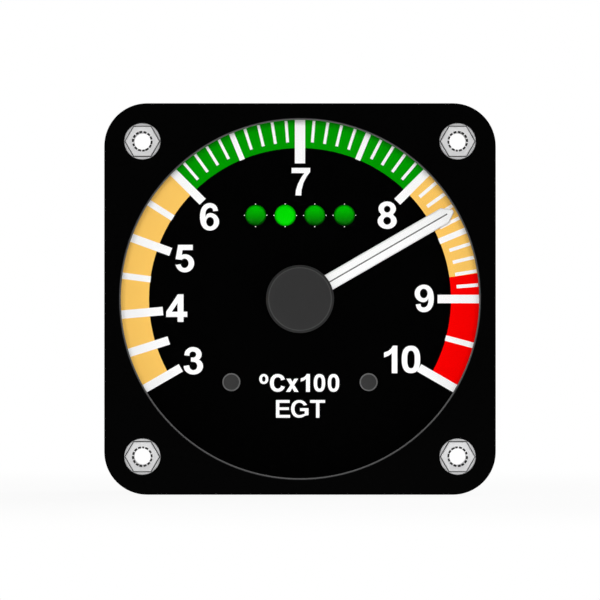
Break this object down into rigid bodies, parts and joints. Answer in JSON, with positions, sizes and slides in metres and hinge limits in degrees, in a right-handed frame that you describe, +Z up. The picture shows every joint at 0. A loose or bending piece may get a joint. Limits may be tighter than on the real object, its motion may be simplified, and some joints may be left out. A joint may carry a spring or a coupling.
{
  "type": "exhaust gas temperature gauge",
  "caption": "Square-flanged round panel gauge with a pointer over an arc of coloured bands, channel lamps and a rear connector.",
  "frame": {"origin": "on the pointer's axis, in the plane of the flange's front face, at the centre of the four panel screws", "axes": "-Y out of the dial towards the pilot, +Y back along the case, +Z up, +X to the pilot's right"},
  "size_m": [0.0584, 0.0524, 0.0584],
  "materials": {
    "flange_black": "black anodised, fine satin",
    "case_black": "black anodised, turned",
    "insert_steel": "passivated stainless steel",
    "rubber_black": "moulded nitrile",
    "lens_glass": "polished both sides",
    "dial_black": "matt black paint with printed bands, ticks and figures",
    "screw_dark": "blackened steel",
    "lamp_green": "green diffused epoxy, unlit",
    "lamp_lit": "green diffused epoxy, lit",
    "board_green": "glass-fibre circuit board with solder mask",
    "pointer_white": "matt white paint",
    "cap_grey": "moulded dark grey",
    "brass": "turned",
    "bright_steel": "ground",
    "acetal_white": "moulded acetal",
    "ferrite": "sintered ferrite",
    "motor_grey": "moulded glass-filled plastic",
    "copper": "enamelled copper wire",
    "chip_black": "moulded epoxy",
    "capacitor_can": "drawn can",
    "gold_pins": "gold plated",
    "shell_tin": "tin plated sheet",
    "screw_zinc": "zinc plated"
  },
  "bodies": {
    "instrument": {"front_flange": "flange_black", "mounting_inserts": "insert_steel", "lens_gasket": "rubber_black", "glass_lens": "lens_glass", "case_tube": "case_black", "rear_cover": "case_black", "cover_seal": "rubber_black", "cover_side_screws": "screw_dark", "cover_screws": "screw_dark", "dial_plate": "dial_black", "dial_screws": "screw_dark", "dial_posts": "brass", "channel_led_1": "lamp_green", "channel_led_2": "lamp_lit", "channel_led_3": "lamp_green", "channel_led_4": "lamp_green", "display_board": "board_green", "main_board": "board_green", "front_pillars": "brass", "rear_pillars": "brass", "board_screws": "screw_zinc", "intermediate_arbor": "bright_steel", "motor_front_shell": "motor_grey", "motor_rear_shell": "motor_grey", "motor_stator": "bright_steel", "coil_bobbin_left": "acetal_white", "coil_bobbin_right": "acetal_white", "coil_winding_left": "copper", "coil_winding_right": "copper", "motor_pins": "gold_pins", "motor_screws": "screw_zinc", "header_strip": "chip_black", "header_pins": "gold_pins", "header_socket": "chip_black", "microcontroller": "chip_black", "thermocouple_amplifiers": "chip_black", "voltage_regulator": "chip_black", "filter_capacitors": "capacitor_can", "connector_shell": "shell_tin", "connector_insulator": "chip_black", "connector_contacts": "gold_pins", "connector_jackscrews": "screw_zinc"},
    "pointer": {"pointer_needle": "pointer_white", "pointer_cap": "cap_grey", "pointer_bush": "brass", "output_shaft": "bright_steel", "output_wheel": "acetal_white"},
    "intermediate": {"intermediate_gear": "acetal_white"},
    "rotor": {"rotor_pinion": "acetal_white", "rotor_magnet": "ferrite"}
  },
  "joints": [
    {"name": "pointer_turn", "type": "hinge", "parent": "instrument", "child": "pointer", "pos_m": [0, 0, 0], "axis": [0, 1, 0], "range_deg": [-185, 65]},
    {"name": "intermediate_turn", "type": "hinge", "parent": "instrument", "child": "intermediate", "pos_m": [0, 0, -0.0077], "axis": [0, 1, 0], "range_deg": [-390, 1110]},
    {"name": "rotor_turn", "type": "hinge", "parent": "instrument", "child": "rotor", "pos_m": [0, 0, -0.0154], "axis": [0, 1, 0], "range_deg": [-6660, 2340]}
  ],
  "couplings": [
    {"joint": "intermediate_turn", "follows": "pointer_turn", "ratio": -6},
    {"joint": "rotor_turn", "follows": "pointer_turn", "ratio": 36}
  ]
}
